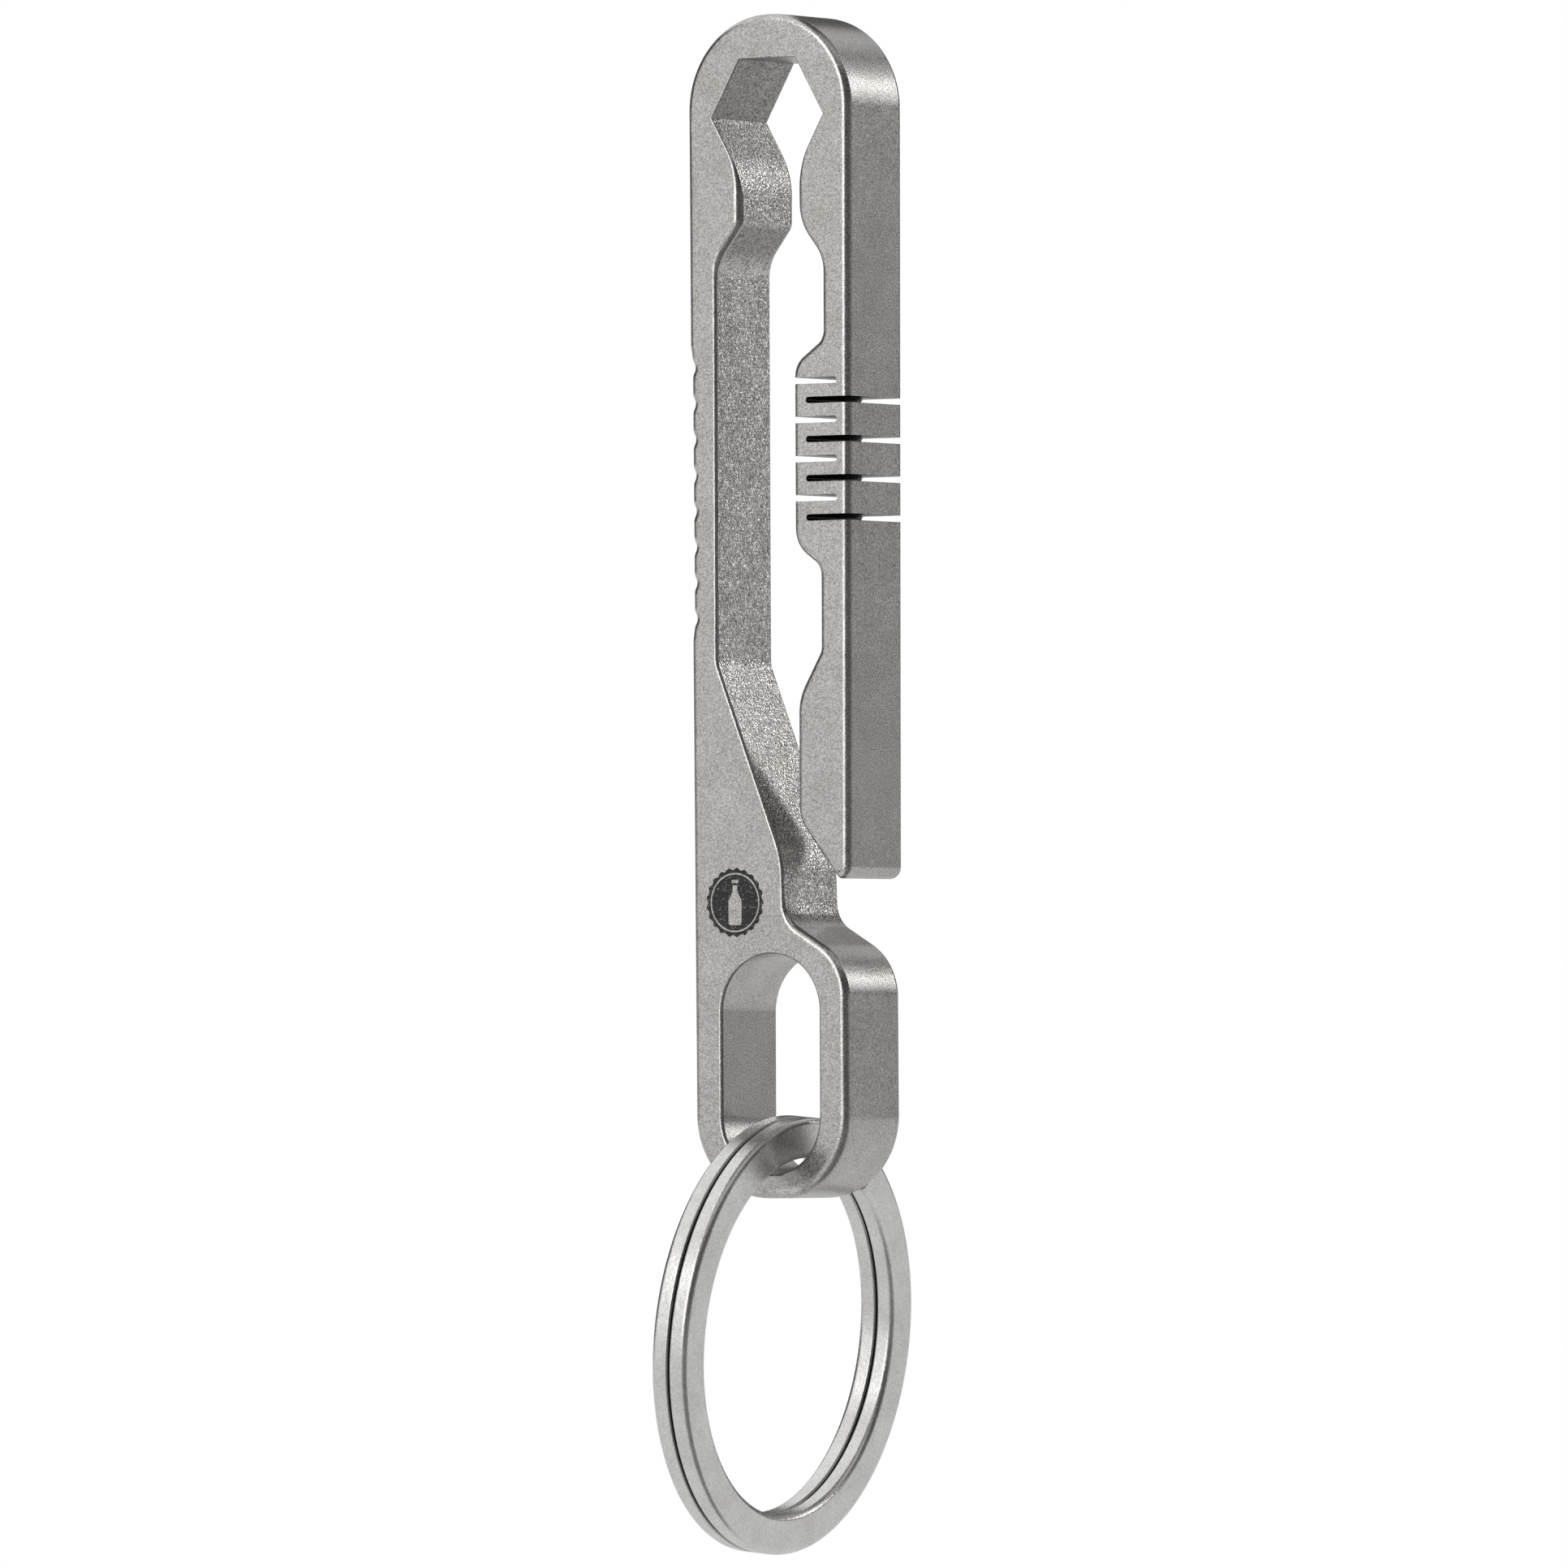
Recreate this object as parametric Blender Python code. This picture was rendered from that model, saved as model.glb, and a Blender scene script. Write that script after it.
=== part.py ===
"""Keychain bottle opener: a one-piece titanium plate with a hex bit socket, a pocket-clip spine,
a sprung gate arm on a meander flexure, and a ring eye that carries a two-layer split ring.

+X points to the gate side, -Y is the front face, +Z is the rounded head.
Outlines are drawn in millimetres from the centre of the hex socket, half way through the plate.
Finished pieces are scaled to metres, and the part's origin is the middle of the socket's top flat.
"""

import math

import bmesh
import bpy
from mathutils import Matrix, Vector

MM = 0.001

# Plate
THICKNESS = 5.4
EDGE_ROUND = 0.3
HEAD_HALF_WIDTH = 5.42
HEAD_TOP = 5.63
HEAD_ROUND = 5.2
EYE_END_HALF_WIDTH = 5.13
EYE_END_BOTTOM = -59.6
EYE_END_ROUND = 4.5

# Hex socket for a 1/4 in bit, open at the bottom into the jaw
HEX_ACROSS_FLATS = 6.4
SPINE_JAW_X = -1.86
GATE_JAW_X = 1.96
JAW_BOTTOM = -5.9
JAW_ROOT_Z = -1.2
JAW_ROOT_ROUND = 0.9
SOCKET_RUN_OUT = 0.06
SOCKET_RUN_OUT_ROUND = 1.5
SOCKET_OVERRUN = 0.6
ORIGIN = Vector((0, 0, HEX_ACROSS_FLATS / 2))

# Clip space between the spine and the gate arm
SPINE_INNER_X = -3.5
GATE_INNER_X = 3.53
SPINE_RAMP_TOP = -30.1

# Grip notches on the outside of the spine
NOTCH_COUNT = 8
NOTCH_FIRST_Z = -13.75
NOTCH_PITCH = 1.98
NOTCH_HALF_WIDTH = 0.42
NOTCH_DEPTH = 0.24
GRIP_INSET = 0.12
GRIP_END = 1.2

# Meander flexure: slots open inwards and outwards in turn
SLOT_COUNT = 8
SLOT_FIRST_Z = -14.65
SLOT_STEP = 1.077
SLOT_WIDTH = 0.36
SLOT_INNER_END_X = 4.58
SLOT_OUTER_END_X = 2.52
FLEXURE_INNER_X = 1.62
HINGE_KERF = 0.03

# Gate arm
GATE_THICK_X = 1.8
GATE_THIN_X = 3.32
GATE_TIP_Z = -42.05

# Where the gate side is parted from the spine side: down the clip space and out below the gate tip
PARTING_X = -1.0
PARTING_BELOW_TIP = 0.8
PARTING_BEND = (-1.0, -31.0)
PARTING_NEAR_RAMP = (0.9, -38.8)
PARTING_TIP_X = 2.7

# Ring eye
EYE_CENTRE_X = -0.05
EYE_HALF_WIDTH = 3.23
EYE_TOP = -46.13
EYE_BOTTOM = -58.28

# Split ring, two turns of flat wire
RING_OUTER_RADIUS = 12.1
RING_WIRE_WIDTH = 2.2
RING_WIRE_THICKNESS = 1.08
RING_LAYER_GAP = 0.06
RING_EDGE_ROUND = 0.22
RING_CENTRE = (-1.1, 0.0, -67.15)
RING_YAW = math.radians(3.5)
RING_LEAN = math.radians(5.3)
RING_CROSSOVER_ANGLE = math.radians(24)
RING_ENDS_AT = math.radians(-11)
RING_STEPS_PER_TURN = 56

ARC_STEP = math.radians(12)
WIRE_ARC_STEP = math.radians(45)
SMOOTH_BELOW = math.radians(35)
NEARLY_HALF = 0.98
CUT_MARGIN = 2.0
WELD = 1e-5


# ---------------------------------------------------------------- collections and materials

def clear_scene():
    for obj in list(bpy.data.objects):
        bpy.data.objects.remove(obj, do_unlink=True)


def new_collection(name):
    collection = bpy.data.collections.new(name)
    bpy.context.scene.collection.children.link(collection)
    return collection


def metal(name, colour, roughness):
    material = bpy.data.materials.new(name)
    material.use_nodes = True
    shader = material.node_tree.nodes["Principled BSDF"]
    shader.inputs["Base Color"].default_value = (*colour, 1.0)
    shader.inputs["Metallic"].default_value = 1.0
    shader.inputs["Roughness"].default_value = roughness
    material.diffuse_color = (*colour, 1.0)
    return material


# ---------------------------------------------------------------- flat outlines

def arc_through_corner(before, corner, after, radius, arc_step):
    """Points of the arc that rounds one corner of an outline."""
    corner_at = Vector(corner)
    to_before = (Vector(before) - corner_at).normalized()
    to_after = (Vector(after) - corner_at).normalized()
    half_angle = to_before.angle(to_after) / 2
    tangent = radius / math.tan(half_angle)
    centre = corner_at + (to_before + to_after).normalized() * (radius / math.sin(half_angle))
    start = corner_at + to_before * tangent - centre
    turn = math.pi - 2 * half_angle
    if to_before.cross(to_after) < 0:
        turn = -turn
    steps = max(2, math.ceil(abs(turn) / arc_step))
    return [
        tuple(centre + Matrix.Rotation(-turn * step / steps, 2) @ start)
        for step in range(steps + 1)
    ]


def rounded_outline(corners, arc_step=ARC_STEP):
    """A closed outline from (x, z, corner radius); a radius of 0 keeps the corner sharp."""
    outline = []
    for index, (x, z, radius) in enumerate(corners):
        if radius == 0:
            outline.append((x, z))
            continue
        before = corners[index - 1][:2]
        after = corners[(index + 1) % len(corners)][:2]
        outline.extend(arc_through_corner(before, (x, z), after, radius, arc_step))
    return outline


def spine_x(z):
    """The outer edge of the spine, which leans in slightly towards the ring eye."""
    straight_top = HEAD_TOP - HEAD_ROUND
    share = (straight_top - z) / (straight_top - EYE_END_BOTTOM)
    return -HEAD_HALF_WIDTH + (HEAD_HALF_WIDTH - EYE_END_HALF_WIDTH) * share


def grip_notch_corners():
    """Notches from the lowest to the highest, along the slightly sunk grip of the spine."""
    bottom = NOTCH_FIRST_Z - (NOTCH_COUNT - 1) * NOTCH_PITCH - GRIP_END
    top = NOTCH_FIRST_Z + GRIP_END
    corners = [(spine_x(bottom), bottom, 1.0)]
    for index in reversed(range(NOTCH_COUNT)):
        z = NOTCH_FIRST_Z - index * NOTCH_PITCH
        edge = spine_x(z) + GRIP_INSET
        corners.append((edge, z - NOTCH_HALF_WIDTH, 0.7))
        corners.append((edge + NOTCH_DEPTH, z, 0.45))
        corners.append((edge, z + NOTCH_HALF_WIDTH, 0.7))
    corners.append((spine_x(top), top, 1.0))
    return corners


def gate_corners():
    """The gate arm, down its outside, round its tip and up its inside to the jaw."""
    return [
        (5.25, GATE_TIP_Z, 0.7),
        (4.42, GATE_TIP_Z, 0.2),
        (GATE_THICK_X, -38.75, 2.2),
        (GATE_THICK_X, -32.1, 3.0),
        (GATE_THIN_X, -29.5, 0.8),
        (GATE_THIN_X, -24.9, 0.9),
        (FLEXURE_INNER_X, -23.7, 1.8),
        (FLEXURE_INNER_X, -13.7, 1.6),
        (GATE_INNER_X, -12.35, 0.9),
        (GATE_INNER_X, -7.9, 2.2),
        (GATE_JAW_X, JAW_BOTTOM, 1.0),
    ]


def hook_corners():
    """The spine from the jaw down its ramp to the hook, the shoulder and the ring eye end."""
    return [
        (SPINE_JAW_X, JAW_BOTTOM, 0.8),
        (SPINE_INNER_X, -8.0, 2.6),
        (SPINE_INNER_X, SPINE_RAMP_TOP, 1.6),
        (0.8, -40.9, 5.5),
        (0.9, -44.2, 1.3),
        (5.02, -46.6, 3.4),
        (EYE_END_HALF_WIDTH - 0.06, EYE_END_BOTTOM, EYE_END_ROUND),
        (-EYE_END_HALF_WIDTH, EYE_END_BOTTOM, EYE_END_ROUND),
    ]


def plate_outline():
    """The whole plate edge, clockwise seen from the front, with the jaw ending inside the socket."""
    head = [(-HEAD_HALF_WIDTH, HEAD_TOP, HEAD_ROUND), (HEAD_HALF_WIDTH, HEAD_TOP, HEAD_ROUND)]
    jaw = [(GATE_JAW_X, JAW_ROOT_Z, JAW_ROOT_ROUND), (SPINE_JAW_X, JAW_ROOT_Z, JAW_ROOT_ROUND)]
    return rounded_outline(head + gate_corners() + jaw + hook_corners() + grip_notch_corners())


def eye_outline():
    """A stadium: two round ends, each just under a half circle so that its two arcs stay apart."""
    left = EYE_CENTRE_X - EYE_HALF_WIDTH
    right = EYE_CENTRE_X + EYE_HALF_WIDTH
    end_round = EYE_HALF_WIDTH * NEARLY_HALF
    return rounded_outline([
        (left, EYE_TOP, end_round),
        (right, EYE_TOP, end_round),
        (right, EYE_BOTTOM, end_round),
        (left, EYE_BOTTOM, end_round),
    ])


def socket_outline():
    """The hex socket, flat side up, flared a little where it runs out into the jaw."""
    apothem = HEX_ACROSS_FLATS / 2
    side = apothem / math.cos(math.radians(30))
    slope = math.tan(math.radians(60))
    right = GATE_JAW_X - SOCKET_RUN_OUT
    left = SPINE_JAW_X + SOCKET_RUN_OUT
    bottom = -apothem - SOCKET_OVERRUN
    return rounded_outline([
        (-side / 2, apothem, 0),
        (side / 2, apothem, 0),
        (side, 0, 0),
        (right, (right - side) * slope, SOCKET_RUN_OUT_ROUND),
        (right, bottom, 0),
        (left, bottom, 0),
        (left, -(left + side) * slope, SOCKET_RUN_OUT_ROUND),
        (-side, 0, 0),
    ])


def slot_outline(z, closed_end_x, open_end_x):
    """One flexure slot with a round closed end."""
    half = SLOT_WIDTH / 2
    return rounded_outline([
        (closed_end_x, z + half, half * NEARLY_HALF),
        (open_end_x, z + half, 0),
        (open_end_x, z - half, 0),
        (closed_end_x, z - half, half * NEARLY_HALF),
    ])


# ---------------------------------------------------------------- solids from outlines

def plate_solid(name, outline, thickness, edge_round, collection):
    """A flat solid standing in the XZ plane, its outline filled and its edges rounded."""
    curve = bpy.data.curves.new(name, "CURVE")
    curve.dimensions = "2D"
    curve.fill_mode = "BOTH"
    curve.extrude = thickness / 2 - edge_round
    curve.bevel_depth = edge_round
    curve.bevel_resolution = 1
    curve.offset = -edge_round
    spline = curve.splines.new("POLY")
    spline.points.add(len(outline) - 1)
    for point, (x, z) in zip(spline.points, outline):
        point.co = (x, z, 0, 1)
    spline.use_cyclic_u = True
    drawn = bpy.data.objects.new(name, curve)
    drawn.rotation_euler = (math.radians(90), 0, 0)
    collection.objects.link(drawn)
    return mesh_from_curve(drawn, name, collection)


def mesh_from_curve(drawn, name, collection):
    bpy.context.view_layer.update()
    graph = bpy.context.evaluated_depsgraph_get()
    mesh = bpy.data.meshes.new_from_object(drawn.evaluated_get(graph))
    mesh.transform(drawn.matrix_world)
    weld_and_face_outwards(mesh)
    obj = bpy.data.objects.new(name, mesh)
    collection.objects.link(obj)
    bpy.data.objects.remove(drawn, do_unlink=True)
    obj.name = name
    return obj


def weld_and_face_outwards(mesh):
    build = bmesh.new()
    build.from_mesh(mesh)
    bmesh.ops.remove_doubles(build, verts=build.verts, dist=WELD)
    bmesh.ops.recalc_face_normals(build, faces=build.faces)
    build.to_mesh(mesh)
    build.free()


def cutter_solid(name, outline, collection):
    """A sharp-edged prism right through the plate."""
    depth = THICKNESS + 2 * CUT_MARGIN
    return hide_cutter(plate_solid(name, outline, depth, 0, collection))


def hide_cutter(cutter):
    cutter.hide_render = True
    cutter.display_type = "WIRE"
    return cutter


def add_boolean(obj, cutter, operation):
    modifier = obj.modifiers.new(f"{operation} {cutter.name}", "BOOLEAN")
    modifier.object = cutter
    modifier.operation = operation
    modifier.solver = "EXACT"


def apply_modifiers(obj):
    bpy.context.view_layer.update()
    graph = bpy.context.evaluated_depsgraph_get()
    finished = bpy.data.meshes.new_from_object(obj.evaluated_get(graph))
    obj.modifiers.clear()
    obj.data = finished


# ---------------------------------------------------------------- the sprung plate and its regions

def slot_z(index):
    return SLOT_FIRST_Z - index * SLOT_STEP


def slot_cutters(collection):
    """Inward-opening and outward-opening slots in turn, from the top of the flexure."""
    cutters = []
    for index in range(SLOT_COUNT):
        opens_inwards = index % 2 == 0
        if opens_inwards:
            outline = slot_outline(slot_z(index), SLOT_INNER_END_X, FLEXURE_INNER_X - CUT_MARGIN)
        else:
            outline = slot_outline(slot_z(index), SLOT_OUTER_END_X, HEAD_HALF_WIDTH + CUT_MARGIN)
        cutters.append(cutter_solid(f"slot_cutter_{index + 1}", outline, collection))
    return cutters


def hinge_x(index):
    """The middle of the narrow web left beside a slot."""
    if index % 2 == 0:
        return (SLOT_INNER_END_X + HEAD_HALF_WIDTH) / 2
    return (SLOT_OUTER_END_X + FLEXURE_INNER_X) / 2


def whole_plate(cutters):
    plate = hide_cutter(plate_solid("plate", plate_outline(), THICKNESS, EDGE_ROUND, cutters))
    add_boolean(plate, cutter_solid("socket_cutter", socket_outline(), cutters), "DIFFERENCE")
    add_boolean(plate, cutter_solid("eye_cutter", eye_outline(), cutters), "DIFFERENCE")
    for slot in slot_cutters(cutters):
        add_boolean(plate, slot, "DIFFERENCE")
    apply_modifiers(plate)
    return plate


def gate_side_region(top):
    """The gate side of the plate below a height: its left edge runs down the clip space."""
    right = HEAD_HALF_WIDTH + CUT_MARGIN
    bottom = GATE_TIP_Z - PARTING_BELOW_TIP
    return [
        (PARTING_X, top),
        (right, top),
        (right, bottom),
        (PARTING_TIP_X, bottom),
        PARTING_NEAR_RAMP,
        PARTING_BEND,
    ]


def leaf_region(index):
    """The band of the flexure between slot number index and the next one."""
    top = slot_z(index - 1) - HINGE_KERF / 2
    bottom = slot_z(index) + HINGE_KERF / 2
    right = HEAD_HALF_WIDTH + CUT_MARGIN
    return [(PARTING_X, top), (right, top), (right, bottom), (PARTING_X, bottom)]


def plate_piece(name, plate, region, operation, material, pivot, parts, cutters):
    """One region of the plate as its own object, its origin on the web it bends at."""
    piece = bpy.data.objects.new(name, plate.data.copy())
    parts.objects.link(piece)
    add_boolean(piece, cutter_solid(f"{name}_region", region, cutters), operation)
    apply_modifiers(piece)
    pivot_at = Vector((pivot[0], 0, pivot[1]))
    piece.data.transform(Matrix.Scale(MM, 4) @ Matrix.Translation(-pivot_at))
    piece.location = (pivot_at - ORIGIN) * MM
    finish_surface(piece, material)
    return piece


def finish_surface(obj, material):
    obj.data.materials.clear()
    obj.data.materials.append(material)
    obj.data.shade_smooth()
    obj.data.set_sharp_from_angle(angle=SMOOTH_BELOW)


# ---------------------------------------------------------------- split ring

def wire_profile():
    """The wire's section in (radius, axial) terms, its corners rounded."""
    half = RING_WIRE_THICKNESS / 2
    inner = RING_OUTER_RADIUS - RING_WIRE_WIDTH
    section = [
        (inner, half, RING_EDGE_ROUND),
        (RING_OUTER_RADIUS, half, RING_EDGE_ROUND),
        (RING_OUTER_RADIUS, -half, RING_EDGE_ROUND),
        (inner, -half, RING_EDGE_ROUND),
    ]
    return rounded_outline(section, WIRE_ARC_STEP)


def spin_wire(build, section, angle, axial_travel):
    """Sweeps the wire's section round the ring axis, the local X axis, and returns its last place."""
    steps = max(4, round(RING_STEPS_PER_TURN * angle / (2 * math.pi)))
    swept = bmesh.ops.spin(
        build,
        geom=section,
        cent=(0, 0, 0),
        axis=(1, 0, 0),
        dvec=(axial_travel / steps, 0, 0),
        angle=angle,
        steps=steps,
    )
    return swept["geom_last"]


def split_ring_mesh():
    """Two turns of wire side by side, joined by a short crossover where both ends stop."""
    step = RING_WIRE_THICKNESS + RING_LAYER_GAP
    turn = 2 * math.pi - RING_CROSSOVER_ANGLE
    build = bmesh.new()
    corners = [build.verts.new((axial - step / 2, 0, radius)) for radius, axial in wire_profile()]
    edges = [build.edges.new((corners[i - 1], corners[i])) for i in range(len(corners))]
    begin_at = Matrix.Rotation(RING_ENDS_AT, 3, "X")
    bmesh.ops.rotate(build, verts=corners, cent=(0, 0, 0), matrix=begin_at)
    section = spin_wire(build, corners + edges, turn, 0)
    section = spin_wire(build, section, RING_CROSSOVER_ANGLE, step)
    spin_wire(build, section, turn, 0)
    open_ends = [edge for edge in build.edges if edge.is_boundary]
    bmesh.ops.holes_fill(build, edges=open_ends)
    mesh = bpy.data.meshes.new("split_ring")
    build.to_mesh(mesh)
    build.free()
    weld_and_face_outwards(mesh)
    mesh.transform(Matrix.Scale(MM, 4))
    return mesh


def split_ring(material, parts):
    """The ring hangs in the eye round the bottom bar, square to the plate with a slight lean."""
    hanger = bpy.data.objects.new("ring_swing_axis", None)
    hanger_at = Vector((0, THICKNESS / 2, EYE_BOTTOM))
    hanger.location = (hanger_at - ORIGIN) * MM
    parts.objects.link(hanger)
    ring = bpy.data.objects.new("split_ring", split_ring_mesh())
    parts.objects.link(ring)
    ring.parent = hanger
    ring.location = (Vector(RING_CENTRE) - hanger_at) * MM
    ring.rotation_euler = (0, RING_LEAN, RING_YAW)
    finish_surface(ring, material)
    return ring


# ---------------------------------------------------------------- assembly

def build_opener():
    clear_scene()
    parts = new_collection("keychain_bottle_opener")
    cutters = new_collection("cutters")
    blasted = metal("bead_blasted_titanium", (0.42, 0.41, 0.40), 0.45)
    flexure = metal("flexure_titanium", (0.40, 0.39, 0.38), 0.45)
    gate = metal("gate_titanium", (0.41, 0.40, 0.39), 0.45)
    ring_metal = metal("satin_ring_titanium", (0.50, 0.50, 0.50), 0.32)

    plate = whole_plate(cutters)
    kerf_top = slot_z(0) + HINGE_KERF / 2
    plate_piece(
        "spine_frame", plate, gate_side_region(kerf_top), "DIFFERENCE",
        blasted, (0, 0), parts, cutters,
    )
    for index in range(1, SLOT_COUNT):
        pivot = (hinge_x(index - 1), slot_z(index - 1))
        plate_piece(
            f"flexure_leaf_{index}", plate, leaf_region(index), "INTERSECT",
            flexure, pivot, parts, cutters,
        )
    last = SLOT_COUNT - 1
    plate_piece(
        "gate_arm", plate, gate_side_region(slot_z(last) - HINGE_KERF / 2), "INTERSECT",
        gate, (hinge_x(last), slot_z(last)), parts, cutters,
    )
    split_ring(ring_metal, parts)
    bpy.data.objects.remove(plate, do_unlink=True)


build_opener()
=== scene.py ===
"""Looks of the keychain bottle opener: a blasted titanium plate with finely rounded edges, grained inner
walls, an etched mark, a meander flexure, and a satin split ring.

Lengths are in millimetres from the centre of the hex socket, half way through the plate, and every
finished mesh is moved into the frame. +X points to the gate side, -Y is the front face, +Z is the head.
"""

import math

import bmesh
import bpy
from mathutils import Euler, Matrix, Vector


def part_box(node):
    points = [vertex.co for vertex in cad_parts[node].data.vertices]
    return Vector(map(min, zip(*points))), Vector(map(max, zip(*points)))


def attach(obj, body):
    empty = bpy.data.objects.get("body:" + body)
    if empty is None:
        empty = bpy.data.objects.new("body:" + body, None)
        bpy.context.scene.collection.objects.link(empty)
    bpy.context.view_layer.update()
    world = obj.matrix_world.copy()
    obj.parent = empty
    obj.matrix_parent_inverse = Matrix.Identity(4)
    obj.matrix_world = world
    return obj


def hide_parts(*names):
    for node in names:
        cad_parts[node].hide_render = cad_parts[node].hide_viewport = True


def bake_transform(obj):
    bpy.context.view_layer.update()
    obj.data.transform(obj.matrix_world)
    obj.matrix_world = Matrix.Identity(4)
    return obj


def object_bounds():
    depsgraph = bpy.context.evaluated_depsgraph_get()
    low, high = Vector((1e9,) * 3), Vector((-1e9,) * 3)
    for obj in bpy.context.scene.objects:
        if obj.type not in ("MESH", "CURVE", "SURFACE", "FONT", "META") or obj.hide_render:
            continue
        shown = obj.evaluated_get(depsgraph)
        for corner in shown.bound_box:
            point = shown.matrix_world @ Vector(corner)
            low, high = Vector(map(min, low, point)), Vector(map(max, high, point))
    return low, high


MM = 0.001

# Plate
THICKNESS = 5.4
HEAD_HALF_WIDTH = 5.42
HEAD_TOP = 5.63
HEAD_ROUND = 5.2
EYE_END_HALF_WIDTH = 5.13
EYE_END_BOTTOM = -59.6
EYE_END_ROUND = 4.5
EYE_END_GATE_X = 5.07

# Hex socket and jaw
HEX_ACROSS_FLATS = 6.4
SPINE_JAW_X = -1.86
GATE_JAW_X = 1.96
JAW_BOTTOM = -5.9
SOCKET_RUN_OUT_ROUND = 5.0
JAW_SPINE_ROUND = 0.7
JAW_GATE_ROUND = 3.0

# Clip space
SPINE_INNER_X = -3.5
GATE_INNER_X = 3.53
SPINE_RAMP_TOP = -30.1

# Grip notches
NOTCH_COUNT = 8
NOTCH_FIRST_Z = -13.75
NOTCH_PITCH = 1.98
NOTCH_HALF_WIDTH = 0.42
NOTCH_DEPTH = 0.24
NOTCH_ROUND = 0.45
NOTCH_SHOULDER_ROUND = 0.7
GRIP_INSET = 0.12
GRIP_END = 1.2
GRIP_END_ROUND = 1.0

# Meander flexure
SLOT_COUNT = 8
SLOT_FIRST_Z = -14.65
SLOT_STEP = 1.077
SLOT_WIDTH = 0.36
SLOT_INNER_END_X = 4.58
SLOT_OUTER_END_X = 2.52
SLOT_END_ROUND = 0.176
FLEXURE_INNER_X = 1.62
PARTING_MARGIN = 0.06

# Gate arm
GATE_THICK_X = 1.8
GATE_THIN_X = 3.32
GATE_TIP_X = 5.25
GATE_TIP_Z = -42.05

# Ring eye
EYE_CENTRE_X = -0.05
EYE_HALF_WIDTH = 3.23
EYE_TOP = -46.13
EYE_BOTTOM = -58.28
EYE_ROUND = 3.2

# Edges: how far each kind of edge is rounded
BOLD = 0.7
SOFT = 0.44
EASED = 0.2
CRISP = 0.1
CUT = 0.0
EDGE_STEPS = 6
ARC_STEP = math.radians(4)
NEARLY_STRAIGHT = math.sin(math.radians(2))

# Sides: the share of its edge's rounding at which a wall's own grain starts, and the lighter band of the
# edge, which is partly real wear and partly a painted highlight
WALL_STARTS = 0.9
WEAR_AND_HIGHLIGHT_STRENGTH = 12
WEAR_AND_HIGHLIGHT_NARROWNESS = 8

# Grain of a surface, from smooth to the coarsest. Below them all is painted shade: the nearly black wall
# of a slot or of the ring's closed seam. A wall of medium grain is as furrowed as the coarsest, but
# darker.
PAINTED_GAP_SHADE = -1.0
SMOOTH = 0.0
FINE = 0.25
MEDIUM = 0.6
COARSE = 1.0

# Etched mark: a crown cap with a thin ring line and a bottle in it
MARK_CENTRE = (-2.35, -43.3)
MARK_RADIUS = 1.86
MARK_SCALLOPS = 21
MARK_SCALLOP_DEPTH = 0.06
MARK_LINE_RADII = (1.55, 1.64)
MARK_DEPTH = 0.03
MARK_STEPS = 216

# Split ring
RING_OUTER_RADIUS = 12.1
RING_WIRE_WIDTH = 2.2
RING_WIRE_THICKNESS = 1.08
RING_LAYER_GAP = 0.06
RING_FACE_ROUND = 0.34
RING_SEAM_ROUND = 0.16
RING_CENTRE = (-1.1, 0.0, -67.15)
RING_YAW = math.radians(3.5)
RING_LEAN = math.radians(5.3)
RING_CROSSOVER = math.radians(18)
RING_ENDS_AT = math.radians(-17)
RING_STEP = math.radians(1.5)
RING_END_CHAMFER = 0.12
WIRE_ARC_STEP = math.radians(15)

# Colours
TITANIUM_DARK = (0.50, 0.482, 0.463)
TITANIUM_LIGHT = (0.56, 0.545, 0.53)
ETCHED_DARK = (0.018, 0.018, 0.018)
ETCHED_LIGHT = (0.05, 0.05, 0.05)
ETCHED_SPECK = (0.3, 0.29, 0.28)
RING_DARK = (0.69, 0.682, 0.668)
RING_LIGHT = (0.78, 0.775, 0.762)
ROOM_COLOUR = (1.0, 0.99, 0.98, 1)
WHITE = (1, 1, 1, 1)
FLOOR_COLOUR = (0.9, 0.9, 0.9, 1)

# Camera
CAMERA_AT = (0.513055, -0.746022, -0.057195)
CAMERA_AZIMUTH = math.radians(34.564)
CAMERA_TILT_UP = math.radians(1.0904)
CAMERA_ROLL = math.radians(-0.241)
CAMERA_LENS = 376.9
CAMERA_SENSOR = 36.0

# Studio, in metres but for the fade of the floor. A light fills a range of azimuths and of elevations in
# degrees, seen from the object, at one brightness.
LIGHT_DISTANCE = 1.5
LIGHTS = {
    "front_panel": ((-58, -22), (-4, 34), 0.66),
    "front_edge_strip": ((-22, 12), (-4, 34), 1.9),
    "left_high_panel": ((-140, 0), (36, 78), 0.85),
    "right_high_panel": ((25, 130), (42, 78), 0.4),
    "rear_key_top": ((142, 148), (17, 27), 8.6),
    "rear_key_middle": ((142, 148), (9, 17), 4.0),
    "rear_key_low": ((141, 149), (3, 9), 0.3),
    "rear_right_wall": ((104, 172), (-3, 3), 0.08),
    "rear_right_high": ((136, 158), (27, 42), 1.25),
    "rear_high": ((168, 200), (29, 50), 0.6),
    "rear_left_panel": ((-178, -138), (-8, 6), 0.5),
}
ROOM_BRIGHTNESS = 0.09
FLOOR_DROP = 0.010
FLOOR_RADIUS = 30.0
FLOOR_SIDES = 96
FLOOR_FADE_MM = (60, 300)
FLOOR_GLOW = 0.6
FLOOR_REFLECTED = 0.68
# Painted shade: in reflections the floor glows darker on the side towards this azimuth.
FLOOR_PAINTED_SHADE_AZIMUTH = 58
FLOOR_PAINTED_SHADE_GLOW = 0.2
FLOOR_PAINTED_SHADE_EDGE = (0.6, 0.85)


# ---------------------------------------------------------------- outlines

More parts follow.
